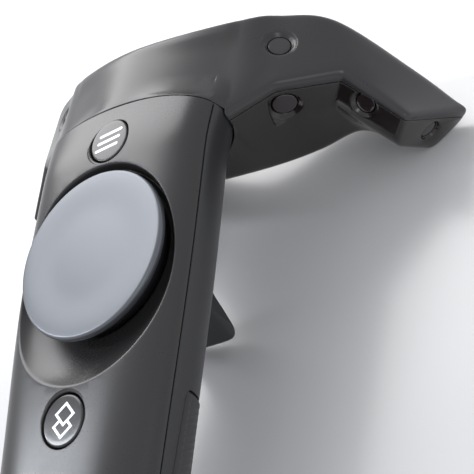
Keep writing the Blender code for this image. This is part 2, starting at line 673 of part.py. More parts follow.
boolean(bracket, turned("bracket_bore", (0, py, pz), (1, 0, 0), [(PIN_R + GAP, -15), (PIN_R + GAP, 15)], 20))
SPRING_TURNS = 2.6
SPRING_R = 2.3
wire = bpy.data.curves.new("trigger_spring", "CURVE")
wire.dimensions = "3D"
wire.bevel_depth = 0.17 * MM
wire.bevel_resolution = 1
wire.use_fill_caps = True
path = wire.splines.new("POLY")
path.points.add(40)
for i, point in enumerate(path.points):
    t = i / 40
    turn = 2 * math.pi * SPRING_TURNS * t
    x = mix(TRIGGER_HALF_WIDTH + 0.5, BRACKET_HALF - 2.05, t)
    point.co = (x * MM, SPRING_R * MM * math.cos(turn), SPRING_R * MM * math.sin(turn), 1.0)
add_object("trigger_spring", wire, STEEL, centre=(0, py, pz))
box("hall_sensor", (-2.0, 2.0), (-9.5, -6.5), (-13.6, -12.5), CHIP)

# ---------------------------------------------------------------- electronics
box("main_board", (-14.0, 14.0), (-61.5, MENU_Y - 7.7), (-12.2, -11.0), BOARD)
box("processor", (-4.5, 4.5), (-30.0, -21.0), (-13.7, -12.5), CHIP)
box("radio_module", (-6.5, 6.5), (-50.5, -36.0), (-14.7, -12.5), CAN)
box("battery", (-10.5, 10.5), (-107.0, -70.5),
    (back_inside(10.5, -107.0) + 0.6, -14.0), CELL)
turned("haptic_motor", (0, -56.0, back_inside(9.0, -51.4) + 4.9), (1, 0, 0), [(4.6, -9.0), (4.6, 9.0)], 28, CAN)
box("head_board", (-15.0, 15.0), (NECK_APEX + 2.5, NECK_APEX + 12.5), (-22.2, -21.0), BOARD)
ribbon = [(NECK_APEX - 20.0, -10.4), (NECK_APEX - 9.0, -10.4), (NECK_APEX - 3.0, -13.0), (NECK_APEX + 2.0, -18.6),
          (NECK_APEX + 7.0, -20.4)]
strip = []
for y, z in ribbon:
    strip.append([(-4.0, y, z - 0.15), (4.0, y, z - 0.15), (4.0, y, z + 0.15), (-4.0, y, z + 0.15)])
loft("flex_cable", strip, FLEX)
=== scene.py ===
import math

import bmesh
import bpy
from mathutils import Matrix, Vector


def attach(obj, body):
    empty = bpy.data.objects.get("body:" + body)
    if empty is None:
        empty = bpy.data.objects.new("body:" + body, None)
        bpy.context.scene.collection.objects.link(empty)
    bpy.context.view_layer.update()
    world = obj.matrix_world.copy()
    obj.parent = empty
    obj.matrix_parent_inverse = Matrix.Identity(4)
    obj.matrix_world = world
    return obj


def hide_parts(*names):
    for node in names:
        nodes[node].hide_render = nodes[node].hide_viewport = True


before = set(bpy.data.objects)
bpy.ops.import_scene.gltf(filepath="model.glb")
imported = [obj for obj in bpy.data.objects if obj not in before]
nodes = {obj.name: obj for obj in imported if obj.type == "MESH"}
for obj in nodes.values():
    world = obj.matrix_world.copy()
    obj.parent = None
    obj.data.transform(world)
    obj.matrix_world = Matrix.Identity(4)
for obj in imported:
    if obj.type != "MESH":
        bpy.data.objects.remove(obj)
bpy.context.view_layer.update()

# ------------------------------------------------------------------ frame
# Controller axes in millimetres (X right, Y toward the head, Z out of the trackpad) to the row frame.
MM = 0.001
TILT = math.radians(8.466)
REST_SHIFT = (0.0, 0.030013, 0.042105)
TO_ROW = Matrix.Translation(REST_SHIFT) @ Matrix.Rotation(TILT, 4, "X") @ Matrix.Scale(MM, 4)
ROOT = "controller"
SHOT = bpy.data.collections.new("pieces")
bpy.context.scene.collection.children.link(SHOT)

TAIL = -125.0
GAP = 0.3
WALL = 2.0
CAP_LENGTH = 7.0
MENU_Y, SYSTEM_Y = 25.7, -33.1
PAD_R, PAD_THICK, PAD_DISH = 18.0, 2.2, 0.3
BUTTON_R, BUTTON_GAP = 4.9, 0.35
GLYPH_DEPTH, GLYPH_RISE = 0.1, 0.07
SCREWS_Y = (-65.5, -112.3)
GRIP_TOP, GRIP_LENGTH, GRIP_HIGH, GRIP_LOW = -26.8, 36.0, -10.2, -19.6
TRIG_HALF, TRIG_Y, TRIG_Z = 8.5, 10.0, -18.0


def mix(a, b, t):
    return a + (b - a) * t


def ease(t):
    t = min(1.0, max(0.0, t))
    return t * t * (3 - 2 * t)


def spread(low, high, count):
    return [mix(low, high, i / (count - 1)) for i in range(count)]


# ------------------------------------------------------------------ materials
def nodes_of(name):
    mat = bpy.data.materials.new(name)
    mat.use_nodes = True
    tree = mat.node_tree
    return mat, tree, tree.nodes["Principled BSDF"]


def finish(name, colour, rough, metal=0.0, *, vary=0.12, grain=900.0, bump=0.03, depth=0.00004, coat=0.0,
           coat_rough=0.1, edge=0.0, spec=0.5, smudge=0.05, blotch=45.0):
    """Moulded or painted surface: cloudy colour, grain in the gloss, fine bump and rounded arrises with
    painted highlight.
    """
    mat, tree, bsdf = nodes_of(name)
    new, link = tree.nodes.new, tree.links.new
    coord = new("ShaderNodeTexCoord")
    bsdf.inputs["Metallic"].default_value = metal
    bsdf.inputs["Specular IOR Level"].default_value = spec
    bsdf.inputs["Coat Weight"].default_value = coat
    bsdf.inputs["Coat Roughness"].default_value = coat_rough
    cloud = new("ShaderNodeTexNoise")
    cloud.inputs["Scale"].default_value = blotch
    cloud.inputs["Detail"].default_value = 4.0
    fine = new("ShaderNodeTexNoise")
    fine.inputs["Scale"].default_value = grain
    fine.inputs["Detail"].default_value = 3.0
    link(coord.outputs["Object"], cloud.inputs["Vector"])
    link(coord.outputs["Object"], fine.inputs["Vector"])
    ramp = new("ShaderNodeMix")
    ramp.data_type = "RGBA"
    low = [c * (1 - vary) for c in colour]
    high = [min(1.0, c * (1 + vary)) for c in colour]
    ramp.inputs["A"].default_value = (*low, 1)
    ramp.inputs["B"].default_value = (*high, 1)
    blend = new("ShaderNodeMath")
    blend.operation = "MULTIPLY_ADD"
    blend.inputs[1].default_value = 0.65
    link(cloud.outputs["Fac"], blend.inputs[0])
    half = new("ShaderNodeMath")
    half.operation = "MULTIPLY"
    half.inputs[1].default_value = 0.35
    link(fine.outputs["Fac"], half.inputs[0])
    link(half.outputs[0], blend.inputs[2])
    link(blend.outputs[0], ramp.inputs["Factor"])
    colour_out = ramp.outputs["Result"]
    gloss = new("ShaderNodeMapRange")
    gloss.inputs["From Min"].default_value = 0.3
    gloss.inputs["From Max"].default_value = 0.7
    gloss.inputs["To Min"].default_value = max(0.02, rough - smudge)
    gloss.inputs["To Max"].default_value = rough + smudge
    link(blend.outputs[0], gloss.inputs["Value"])
    rough_out = gloss.outputs["Result"]
    bevel = None
    if edge:
        bevel = new("ShaderNodeBevel")
        bevel.samples = 4
        bevel.inputs["Radius"].default_value = edge
    rise = new("ShaderNodeBump")
    rise.inputs["Strength"].default_value = bump
    rise.inputs["Distance"].default_value = depth
    link(fine.outputs["Fac"], rise.inputs["Height"])
    if bevel:
        link(bevel.outputs["Normal"], rise.inputs["Normal"])
        # painted highlight: the colour is lightened on the arrises that the bevel rounds
        geo = new("ShaderNodeNewGeometry")
        dot = new("ShaderNodeVectorMath")
        dot.operation = "DOT_PRODUCT"
        link(bevel.outputs["Normal"], dot.inputs[0])
        link(geo.outputs["Normal"], dot.inputs[1])
        edge_highlight_mask = new("ShaderNodeMapRange")
        edge_highlight_mask.inputs["From Min"].default_value = 0.995
        edge_highlight_mask.inputs["From Max"].default_value = 0.85
        edge_highlight_mask.inputs["To Max"].default_value = 0.45
        link(dot.outputs["Value"], edge_highlight_mask.inputs["Value"])
        painted_edge_highlight = new("ShaderNodeMix")
        painted_edge_highlight.data_type = "RGBA"
        painted_edge_highlight.inputs["B"].default_value = (*[min(1.0, c * 1.9 + 0.015) for c in colour], 1)
        link(colour_out, painted_edge_highlight.inputs["A"])
        link(edge_highlight_mask.outputs["Result"], painted_edge_highlight.inputs["Factor"])
        colour_out = painted_edge_highlight.outputs["Result"]
    link(rise.outputs["Normal"], bsdf.inputs["Normal"])
    link(colour_out, bsdf.inputs["Base Color"])
    link(rough_out, bsdf.inputs["Roughness"])
    return mat


FACE = finish("satin_gunmetal", (0.056, 0.055, 0.057), 0.3, 0.5, edge=0.0003, bump=0.05, vary=0.07,
              coat=0.12, coat_rough=0.25, grain=2400)
BACK = finish("graphite_back", (0.048, 0.048, 0.051), 0.34, 0.35, edge=0.0003, bump=0.05, vary=0.08,
              grain=2400)
UNDER = finish("gloss_umber_black", (0.013, 0.010, 0.0095), 0.17, 0.0, edge=0.00045, bump=0.015, vary=0.15,
               spec=0.6, coat=0.3, coat_rough=0.08, smudge=0.03)
TOUCH = finish("brushed_silver", (0.165, 0.175, 0.195), 0.34, 0.6, bump=0.06, vary=0.05, grain=3200,
               smudge=0.03, blotch=30)
SKIRT = finish("black_polymer", (0.02, 0.02, 0.022), 0.3, 0.0, edge=0.0003, bump=0.03, vary=0.1)
CAPS = finish("gloss_keycap", (0.03, 0.03, 0.033), 0.26, 0.2, edge=0.0002, bump=0.02, vary=0.08, coat=0.4,
              coat_rough=0.12)
TRIG = finish("trigger_black", (0.032, 0.033, 0.037), 0.3, 0.1, edge=0.0003, bump=0.05, vary=0.1, grain=1800)
GRIP = finish("grip_polymer", (0.045, 0.045, 0.048), 0.42, 0.15, edge=0.0002, bump=0.08, vary=0.12,
              grain=2600)
LENS = finish("infrared_window", (0.02, 0.014, 0.016), 0.1, 0.0, bump=0.005, vary=0.1, coat=0.5,
              coat_rough=0.05, smudge=0.02, spec=0.7)
LENS_FACE = finish("infrared_window_grey", (0.05, 0.049, 0.051), 0.26, 0.2, bump=0.02, vary=0.08, coat=0.2,
                   coat_rough=0.15, smudge=0.03)
STEEL = finish("spring_steel", (0.5, 0.5, 0.51), 0.3, 1.0, bump=0.04, vary=0.08, grain=2600)
BOARD = finish("circuit_board", (0.012, 0.07, 0.032), 0.4, 0.0, bump=0.12, vary=0.35, grain=500, coat=0.3)
CHIP = finish("chip_epoxy", (0.02, 0.02, 0.022), 0.5, 0.0, bump=0.12, vary=0.2, grain=3000)
CAN = finish("shield_can", (0.52, 0.52, 0.5), 0.35, 0.9, bump=0.05, vary=0.1, grain=2000)
CELL = finish("battery_wrap", (0.03, 0.1, 0.26), 0.42, 0.0, bump=0.05, vary=0.15, grain=700)
MAGNET = finish("nickel_magnet", (0.5, 0.49, 0.47), 0.2, 1.0, bump=0.02, vary=0.06)
FLEX = finish("flex_polyimide", (0.42, 0.18, 0.03), 0.35, 0.0, bump=0.03, vary=0.2)


def painted_glow_icon():
    mat, tree, bsdf = nodes_of("light_guide_white")
    new, link = tree.nodes.new, tree.links.new
    coord = new("ShaderNodeTexCoord")
    noise = new("ShaderNodeTexNoise")
    noise.inputs["Scale"].default_value = 800
    link(coord.outputs["Object"], noise.inputs["Vector"])
    ramp = new("ShaderNodeMix")
    ramp.data_type = "RGBA"
    ramp.inputs["A"].default_value = (0.82, 0.86, 0.9, 1)
    ramp.inputs["B"].default_value = (0.92, 0.94, 0.96, 1)
    link(noise.outputs["Fac"], ramp.inputs["Factor"])
    link(ramp.outputs["Result"], bsdf.inputs["Base Color"])
    # painted glow: the white icon print emits light, though no lamp lies under it
    link(ramp.outputs["Result"], bsdf.inputs["Emission Color"])
    bsdf.inputs["Emission Strength"].default_value = 0.55
    bsdf.inputs["Roughness"].default_value = 0.4
    return mat


GLYPH = painted_glow_icon()


# ------------------------------------------------------------------ mesh helpers
def new_object(name, bm, mat=None):
    mesh = bpy.data.meshes.new(name)
    bmesh.ops.recalc_face_normals(bm, faces=bm.faces)
    bm.to_mesh(mesh)
    bm.free()
    obj = bpy.data.objects.new(name, mesh)
    SHOT.objects.link(obj)
    if mat is not None:
        mesh.materials.append(mat)
    return obj


def loft(name, rings, mat=None, quads=False):
    """Closed skin through rings given in controller millimetres."""
    bm = bmesh.new()
    rows = [[bm.verts.new(TO_ROW @ Vector(v)) for v in ring] for ring in rings]
    for low, high in zip(rows, rows[1:]):
        for i in range(len(low)):
            bm.faces.new((low[i - 1], low[i], high[i], high[i - 1]))
    for row in (rows[0], rows[-1]):
        hub = bm.verts.new(sum((v.co for v in row), Vector()) / len(row))
        for i in range(len(row)):
            bm.faces.new((row[i - 1], row[i], hub))
    if not quads:
        bmesh.ops.triangulate(bm, faces=bm.faces)
    return new_object(name, bm, mat)


def prism(name, outline, axis, low, high, mat=None):
    spot = {0: lambda h, a, b: (h, a, b), 1: lambda h, a, b: (a, h, b), 2: lambda h, a, b: (a, b, h)}[axis]
    return loft(name, [[spot(h, a, b) for a, b in outline] for h in (low, high)], mat)


def box(name, x, y, z, mat=None):
    return prism(name, [(x[0], y[0]), (x[1], y[0]), (x[1], y[1]), (x[0], y[1])], 2, z[0], z[1], mat)


def turned(name, centre, direction, profile, count, mat=None):
    """Profile of (radius, height) spun about a direction through a centre."""
    turn = Vector(direction).to_track_quat("Z", "Y")
    centre = Vector(centre)
    rings = []
    for radius, height in profile:
        ring = []
        for i in range(count):
            a = 2 * math.pi * i / count
            ring.append(centre + turn @ Vector((radius * math.cos(a), radius * math.sin(a), height)))
        rings.append(ring)
    return loft(name, rings, mat, quads=mat is not None)


def fillet(a, corner, b, steps=6):
    """Points of a soft corner in a profile."""
    out = []
    for s in range(steps):
        t = s / (steps - 1)
        out.append(tuple((1 - t) ** 2 * a[k] + 2 * t * (1 - t) * corner[k] + t * t * b[k] for k in range(2)))
    return out


def carve(obj, *cuts):
    """Cuts and joins, applied to the mesh."""
    for tool, kind in cuts:
        mod = obj.modifiers.new("cut", "BOOLEAN")
        mod.operation = kind
        mod.object = tool
        mod.solver = "EXACT"
    weld = obj.modifiers.new("weld", "WELD")
    weld.merge_threshold = 0.000012
    bake(obj)
    return obj


def bake(obj):
    deps = bpy.context.evaluated_depsgraph_get()
    mesh = bpy.data.meshes.new_from_object(obj.evaluated_get(deps))
    own = obj.data.materials[:1]
    obj.modifiers.clear()
    obj.data = mesh
    mesh.materials.clear()
    for mat in own:
        mesh.materials.append(mat)
    mesh.polygons.foreach_set("material_index", [0] * len(mesh.polygons))
    return obj


def smooth(obj, angle=30.0):
    obj.data.shade_smooth()
    obj.data.set_sharp_from_angle(angle=math.radians(angle))
    return obj


def place(obj, body, *cad, angle=30.0):
    smooth(obj, angle)
    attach(obj, body)
    if cad:
        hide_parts(*cad)
    return obj


def discard(*objs):
    for o in objs:
        bpy.data.objects.remove(o, do_unlink=True)


# ------------------------------------------------------------------ handle skin
def handle_section(y):
    """Half width, crown, widest line, back and the front and back superellipse powers at one height."""
    tail = ease((5.0 - y) / 65.0)
    heel = ease((-75.0 - y) / 50.0)
    neck = ease((y - 21.0) / 19.0)
    half = mix(22.3, 18.9, tail) + 1.3 * neck - 1.2 * heel
    crown = -1.6 * tail - 2.0 * neck - 0.8 * heel
    widest = -8.0 - 2.3 * tail - neck - 0.6 * heel
    back = -24.8 - 1.5 * tail + 2.0 * heel
    return half, crown, widest, back, 3.2 - 0.27 * tail - 0.5 * neck, 1.95


def front_height(x, y):
    half, crown, widest, _, power, _ = handle_section(y)
    t = min(1.0, abs(x) / half)
    return widest + (crown - widest) * max(0.0, 1 - t ** power) ** (1 / power)


def side_reach(y, z, inset=0.0):
    """Half width of the back half at a height below the widest line."""
    half, _, widest, back, _, power = handle_section(y)
    t = min(1.0, abs(z - widest) / (widest - back - inset))
    return (half - inset) * max(0.0, 1 - t ** power) ** (1 / power)


def handle_ring(y, inset=0.0, count=120, squeeze=0.0):
    half, crown, widest, back, nf, nb = handle_section(y)
    half -= inset + squeeze
    up = crown - inset - squeeze - widest
    down = widest - (back + inset + squeeze)
    dense = []
    for i in range(960):
        t = 2 * math.pi * i / 960
        c, s = math.cos(t), math.sin(t)
        power = nf if s >= 0 else nb
        dense.append((half * math.copysign(abs(c) ** (2 / power), c),
                      widest + (up if s >= 0 else down) * math.copysign(abs(s) ** (2 / power), s)))
    dense.append(dense[0])
    run = [0.0]
    for a, b in zip(dense, dense[1:]):
        run.append(run[-1] + math.dist(a, b))
    ring, k = [], 0
    for i in range(count):
        want = run[-1] * i / count
        while run[k + 1] < want:
            k += 1
        t = (want - run[k]) / max(1e-9, run[k + 1] - run[k])
        ring.append((mix(dense[k][0], dense[k + 1][0], t), y, mix(dense[k][1], dense[k + 1][1], t)))
    return ring


def handle_skin(name, inset, tail, top, rows, count=120, mat=None):
    return loft(name, [handle_ring(y, inset, count) for y in spread(tail, top, rows)], mat)


NECK_APEX, ARCH_R = 35.0, 70.0
SEAM_RISE = 2.8
RIM_LAP = 1.5


def neck_arch(x, shift=0.0):
    r = ARCH_R + shift
    return NECK_APEX - ARCH_R + math.sqrt(r * r - x * x)


def arch_block(name, shift):
    outline = [(x, neck_arch(x, shift)) for x in spread(-32.0, 32.0, 97)]
    outline += [(32.0, TAIL - 9.0), (-32.0, TAIL - 9.0)]
    return prism(name, outline, 2, -60.0, 20.0)


def face_block(name, shift):
    ys = spread(TAIL - 4.0, 41.0, 67)
    outline = [(y, handle_section(y)[2] + SEAM_RISE + shift) for y in ys] + [(41.0, 25.0), (TAIL - 4.0, 25.0)]
    return prism(name, outline, 0, -40.0, 40.0)


# ------------------------------------------------------------------ head skin
def V(*p):
    return Vector(p)


CENTRE_BACK = [V(0, 29, -12), V(0, 24.5, -24), V(0, 51, -40), V(0, 52, -3.2)]
NECK_HALF = 23.4
# Sections from the neck to the wing tip, each running rim, web, underside, back, outer edge
KNOTS = [[V(NECK_HALF, 29.6, -8.4), V(21.6, 30.2, -17), V(18.4, 31.3, -33.4),
          V(22, 55.4, -45), V(23.2, 56, -10)],
         [V(31.8, 37.2, -12.9), V(28.4, 36.2, -20.4), V(28.1, 36.2, -38.7),
          V(31, 56.8, -46), V(30.6, 57.7, -14.6)],
         [V(43.6, 41.3, -20.5), V(38, 38.5, -26.2), V(36.6, 40.4, -41.4),
          V(40.5, 54, -46.6), V(40.8, 56.4, -20.2)],
         [V(48.9, 36.7, -24.5), V(43.1, 34.3, -30.8), V(43.8, 38.7, -45),
          V(49.7, 47.6, -47.4), V(52.5, 48.8, -34.3)],
         [V(53.9, 32.2, -28.5), V(48.3, 30.1, -35.5), V(51, 36.2, -48.5),
          V(57.6, 41, -48), V(60.5, 42.8, -46.4)]]
TIP = float(len(KNOTS))


def rim_on_handle(x):
    y = neck_arch(x) - RIM_LAP
    return Vector((x, y, front_height(x, y)))


def curve(a, b, c, d, t):
    return 0.5 * ((2 * b) + (c - a) * t + (2 * a - 5 * b + 4 * c - d) * t * t
                  + (3 * b - a - 3 * c + d) * t ** 3)


def head_section(u):
    """Five corners at a station: 0 at the middle of the neck, 1 beside it, 5 at the wing tip."""
    points = []
    k = min(4, int(u))
    t = u - k
    for corner in range(5):
        track = [knot[corner] for knot in KNOTS]
        start = CENTRE_BACK[corner - 1] if corner > 0 else rim_on_handle(0.0)
        track = [Vector((-track[0].x, track[0].y, track[0].z)), start] + track
        track.append(track[-1] * 2 - track[-2])
        if corner == 0 and k == 0:
            points.append(rim_on_handle(NECK_HALF * t))
        elif corner < 2 and k > 0:
            points.append(track[k + 1].lerp(track[k + 2], t))
        else:
            points.append(curve(track[k], track[k + 1], track[k + 2], track[k + 3], t))
    return points


ARC = 7


def rounded(points, radii, steps=ARC):
    """Loop with a soft arc of so many points at each corner."""
    ring = []
    n = len(points)
    for i, p in enumerate(points):
        before, after = points[i - 1] - p, points[(i + 1) % n] - p
        reach = min(radii[i], 0.45 * before.length, 0.45 * after.length)
        a, b = p + before.normalized() * reach, p + after.normalized() * reach
        for s in range(steps):
            t = s / (steps - 1)
            ring.append((1 - t) ** 2 * a + 2 * t * (1 - t) * p + t * t * b)
    return ring


def shrunk(points, inset):
    """Loop moved inward, every side by the inset."""
    n = len(points)
    middle = sum(points, Vector()) / n
    normal = Vector()
    for i in range(n):
        normal += (points[i] - middle).cross(points[(i + 1) % n] - middle)
    normal.normalize()
    moved = []
    for i, p in enumerate(points):
        e0 = (p - points[i - 1]).normalized()
        e1 = (points[(i + 1) % n] - p).normalized()
        away = normal.cross(e0) + normal.cross(e1)
        away /= max(0.45, away.length_squared / 2)
        moved.append(p + away * inset)
    return moved


def mirrored(points):
    return [Vector((-p.x, p.y, p.z)) for p in points]


def head_loft(name, shape, stations, mat=None):
    right = [shape(u, head_section(min(u, TIP))) for u in stations]
    left = [mirrored(ring) for ring in reversed(right[1:])]
    return loft(name, left + right, mat)


def face_point(u, f):
    """Smooth run of the face at a share f of the way from the outer edge to the rim."""
    k = min(4, int(u))
    rims = [knot[0] for knot in KNOTS]
    outs = [knot[4] for knot in KNOTS]
    rims = [Vector((-rims[0].x, rims[0].y, rims[0].z)), rim_on_handle(0.0)] + rims
    outs = [Vector((-outs[0].x, outs[0].y, outs[0].z)), CENTRE_BACK[3]] + outs
    track = [a.lerp(b, f) for a, b in zip(outs, rims)]
    track.append(track[-1] * 2 - track[-2])
    return curve(track[k], track[k + 1], track[k + 2], track[k + 3], u - k)


CORNER_RADII = (1.9, 2.6, 2.2, 3.0, 2.4)
SIDE_POINTS = (4, 9, 6, 9, 13)
TIP_INSETS = {5.0: 0.8, 4.99: 0.42, 4.975: 0.2, 4.95: 0.06}
FACE_SIDE = 4
FACE_LAYER = 2.4
DIMPLE_R, WINDOW_R = 3.45, 2.42


def outer_shape(u, section):
    """Skin loop: rounded corners, and a face that bulges smoothly from section to section."""
    inset = TIP_INSETS.get(round(u, 3), 0.0)
    points = shrunk(section, inset) if inset else section
    corners = rounded(points, CORNER_RADII)
    ring = []
    for i, count in enumerate(SIDE_POINTS):
        arc = corners[ARC * i:ARC * (i + 1)]
        ring += arc
        start, end = arc[-1], corners[ARC * (i + 1) % len(corners)]
        for m in range(1, count + 1):
            straight = start.lerp(end, m / (count + 1))
            if i == FACE_SIDE and not inset:
                span = (points[0] - points[FACE_SIDE]).length
                f = (straight - points[FACE_SIDE]).length / span
                weight = ease((1 - f) / 0.4) * ease(f / 0.3)
                straight = straight.lerp(face_point(min(u, TIP), f), weight)
            ring.append(straight)
    return ring


def cavity_shape(u, section):
    return rounded(shrunk(section, 3.4), (0.5, 0.5, 0.8, 1.0, 0.8), 3)


def layer_shape(depth):
    """Slab under the face, reaching past both of its edges."""
    def shape(u, section):
        rim, web, low, back, outer = section
        inward = (low - rim).normalized() * depth
        edge = (back - outer).normalized() * depth
        face = (outer - rim).normalized()
        out_low, out_high = rim + inward - face * 6, outer + edge + face * 6
        return [out_low, out_high, out_high - edge.normalized() * 12, out_low - inward.normalized() * 12]
    return shape


def on_head(u, edge, along):
    """Place and outward direction on one side of the head."""
    def at(station):
        section = head_section(station)
        return section[edge].lerp(section[(edge + 1) % 5], along)
    section = head_section(u)
    middle = sum(section, Vector()) / 5
    across = section[(edge + 1) % 5] - section[edge]
    normal = across.cross(at(u + 0.05) - at(u - 0.05)).normalized()
    if normal.dot(at(u) - middle) < 0:
        normal.negate()
    return at(u), normal


def tip_window():
    p, corner = KNOTS[4], KNOTS[2]
    centre = p[0] * 0.22 + p[1] * 0.18 + p[4] * 0.25 + p[2] * 0.35
    normal = (p[1] - p[0]).cross(p[4] - p[0]).normalized()
    if normal.dot(p[0] - corner[0]) < 0:
        normal.negate()
    return centre, normal


# Window name, place and direction, dimple scale and which housing carries it
WINDOWS = [("face", on_head(2.03, 4, 0.45), 1.0, "top"),
           ("under", on_head(2.12, 0, 0.86), 1.15, "bottom"),
           ("arm", on_head(3.8, 0, 0.48), 0.9, "bottom"),
           ("tip", tip_window(), 0.8, "bottom"),
           ("crest", on_head(2.88, 3, 0.82), 0.85, "bottom"),
           ("edge", on_head(4.3, 3, 0.45), 0.7, "bottom")]

# ------------------------------------------------------------------ handle housings
tail_y = TAIL + CAP_LENGTH


SCOOP_Y = -3.8
BOWL_R, BOWL_Z = 16.9, -5.2
BOWL_STEPS, LIP_STEPS = 14, 6
# Half widths across and along, height, and rise along the handle, from the floor up
SCOOP_STOPS = [(18.5, 21.3, -4.7, 0.058), (21.0, 23.1, -0.6, 0.0), (23.2, 25.8, 6.0, 0.0)]


def scoop_wall(t, k):
    """Point on the scoop's flaring wall: angle t, k 0 at the floor to 2 well above the skin."""
    i = min(1, int(k))
    ax, ay, z, tilt = [mix(a, b, k - i) for a, b in zip(SCOOP_STOPS[i], SCOOP_STOPS[i + 1])]
    x, y = ax * math.cos(t), ay * math.sin(t)
    return Vector((x, y + SCOOP_Y, z + tilt * y))


def scoop_edge(t):
    """Where the flaring wall meets the handle's skin, found by halving."""
    low, high = 0.0, 2.0
    for _ in range(40):
        k = (low + high) / 2
        p = scoop_wall(t, k)
        if p.z < front_height(p.x, p.y):
            low = k
        else:
            high = k
    return scoop_wall(t, low)


def bezier(a, b, c, t):
    return (1 - t) ** 2 * a + 2 * t * (1 - t) * b + t * t * c


def scoop_column(t, lip):
    """Bowl from the floor to the skin at one angle, rolled over its edge in a soft lip."""
    edge = scoop_edge(t)
    flat = Vector((edge.x, edge.y, 0.0)).normalized()
    foot = flat * BOWL_R + V(0, 0, BOWL_Z)
    run = Vector((edge.x, edge.y, 0.0)).length - BOWL_R
    bend = flat * (BOWL_R + 0.55 * run) + V(0, 0, mix(BOWL_Z, edge.z, 0.16))
    bowl = [bezier(foot, bend, edge, a) for a in spread(0.0, 1.0, BOWL_STEPS + 1)]
    inner = edge + (bowl[-2] - edge).normalized() * lip
    far = edge + flat * lip
    far.z = front_height(far.x, far.y) + 0.015
    kept = [p for p in bowl if (p - edge).length > lip * 1.2]
    while len(kept) < BOWL_STEPS:
        kept.append(kept[-1].lerp(inner, 0.5))
    column = [flat * 8.0 + V(0, 0, -5.3)] + kept[:BOWL_STEPS]
    column += [bezier(inner, edge, far, m / (LIP_STEPS - 1)) for m in range(LIP_STEPS)]
    return column + [far + flat + V(0, 0, 3.0), far + flat + V(0, 0, 9.0)]


def scoop_tool(name, count=176, lip=0.45):
    """Cutter whose wall rolls over onto the handle's skin in a soft lip."""
    columns = [scoop_column(2 * math.pi * i / count, lip) for i in range(count)]
    return loft(name, [[column[r] for column in columns] for r in range(len(columns[0]))])


def oval(ax, ay, z, count=96):
    return [(ax * math.cos(2 * math.pi * i / count), SCOOP_Y + ay * math.sin(2 * math.pi * i / count), z)
            for i in range(count)]


def corner_arcs(half_x, half_y, r, count, step, middle=(0.0, 0.0)):
    """Rectangle with round corners, drawn as arcs."""
    outline = []
    for sx, sy, start in ((1, 1, 0), (-1, 1, 90), (-1, -1, 180), (1, -1, 270)):
        for i in range(count):
            a = math.radians(start + step * i)
            outline.append((middle[0] + sx * (half_x - r) + r * math.cos(a),
                            middle[1] + sy * (half_y - r) + r * math.sin(a)))
    return outline


def stadium(half, r, count, middle=(0.0, 0.0)):
    """Slot outline: two half circles of so many points each."""
    outline = []
    for end, start in ((half, -90), (-half, 90)):
        for i in range(count):
            a = math.radians(start + 180 / (count - 1) * i)
            outline.append((middle[0] + end + r * math.cos(a), middle[1] + r * math.sin(a)))
    return outline


def button_hole(name, y):
    top = front_height(0, y)
    r = BUTTON_R + BUTTON_GAP
    profile = [(r, -12), (r, -0.45)] + fillet((r, -0.4), (r, 0.0), (r + 0.4, 0.01))
    return turned(name, (0, y, top), (0, 0, 1), profile + [(r + 0.8, 0.4), (r + 0.8, 4)], 80)


def build_front(hollow, below):
    scoop = scoop_tool("scoop_tool")
    boss = loft("boss", [oval(19.1, 22.0, -7.6), oval(19.1, 22.4, -4.95), oval(20.1, 22.8, -4.3),
                         oval(18.0, 22.9, -1.2)])
    pad_hole = turned("pad_hole", (0, 0, 0), (0, 0, 1), [(16.4, -12), (16.4, 4)], 128)
    menu_hole, system_hole = button_hole("menu_hole", MENU_Y), button_hole("system_hole", SYSTEM_Y)
    face_side = face_block("face_side", GAP / 2)
    front = handle_skin("front_housing", 0.0, tail_y, 39.0, 85, 132, FACE)
    carve(front, (face_side, "INTERSECT"), (below, "INTERSECT"), (hollow, "DIFFERENCE"), (boss, "UNION"),
          (pad_hole, "DIFFERENCE"), (scoop, "DIFFERENCE"), (menu_hole, "DIFFERENCE"),
          (system_hole, "DIFFERENCE"))
    discard(scoop, boss, pad_hole, menu_hole, system_hole, face_side)
    return front


def build_back(hollow, below):
    face_side_gap = face_block("face_side_gap", -GAP / 2)
    back = handle_skin("back_housing", 0.0, tail_y, 39.0, 85, 132, BACK)
    slot = corner_arcs(TRIG_HALF + 0.6, 14.4, 1.6, 7, 15, (0.0, -5.1))
    tools = [face_side_gap, prism("trigger_slot", slot, 2, -36.0, -16.0)]
    y0, y1 = GRIP_TOP - GRIP_LENGTH - GAP, GRIP_TOP + GAP
    z0, z1 = GRIP_LOW - GAP, GRIP_HIGH + GAP
    window = corner_arcs((y1 - y0) / 2, (z1 - z0) / 2, 1.5, 6, 18, ((y0 + y1) / 2, (z0 + z1) / 2))
    for side in (-1, 1):
        tools.append(prism(f"grip_slot_{side}", window, 0, *sorted((side * 8.0, side * 40.0))))
    carve(back, (tools[0], "DIFFERENCE"), (below, "INTERSECT"), (hollow, "DIFFERENCE"),
          *[(tool, "DIFFERENCE") for tool in tools[1:]])
    discard(*tools)
    return back


def add_screw_place(front, back, y):
    """Sunk hole in the back housing and the post that it screws into."""
    _, crown, _, low, _, _ = handle_section(y)
    lug = turned("lug", (0, y, 0), (0, 0, 1), [(3.6, low + 1.2), (3.6, low + 6.6)], 36)
    sink = turned("sink", (0, y, 0), (0, 0, 1), [(2.4, low + 3.4), (2.4, low + 0.3)]
                  + fillet((2.4, low + 0.35), (2.4, low), (2.8, low - 0.02)) + [(3.4, low - 0.8)], 40)
    bore = turned("bore", (0, y, 0), (0, 0, 1), [(1.4, low - 2.0), (1.4, low + 9.0)], 24)
    carve(back, (lug, "UNION"), (sink, "DIFFERENCE"), (bore, "DIFFERENCE"))
    post = turned("post", (0, y, 0), (0, 0, 1), [(2.6, low + 7.0), (2.6, crown - 1.0)], 28)
    pilot = turned("pilot", (0, y, 0), (0, 0, 1), [(1.3, low - 1.0), (1.3, crown - 4.0)], 24)
    carve(front, (post, "UNION"), (pilot, "DIFFERENCE"))
    discard(lug, sink, bore, post, pilot)


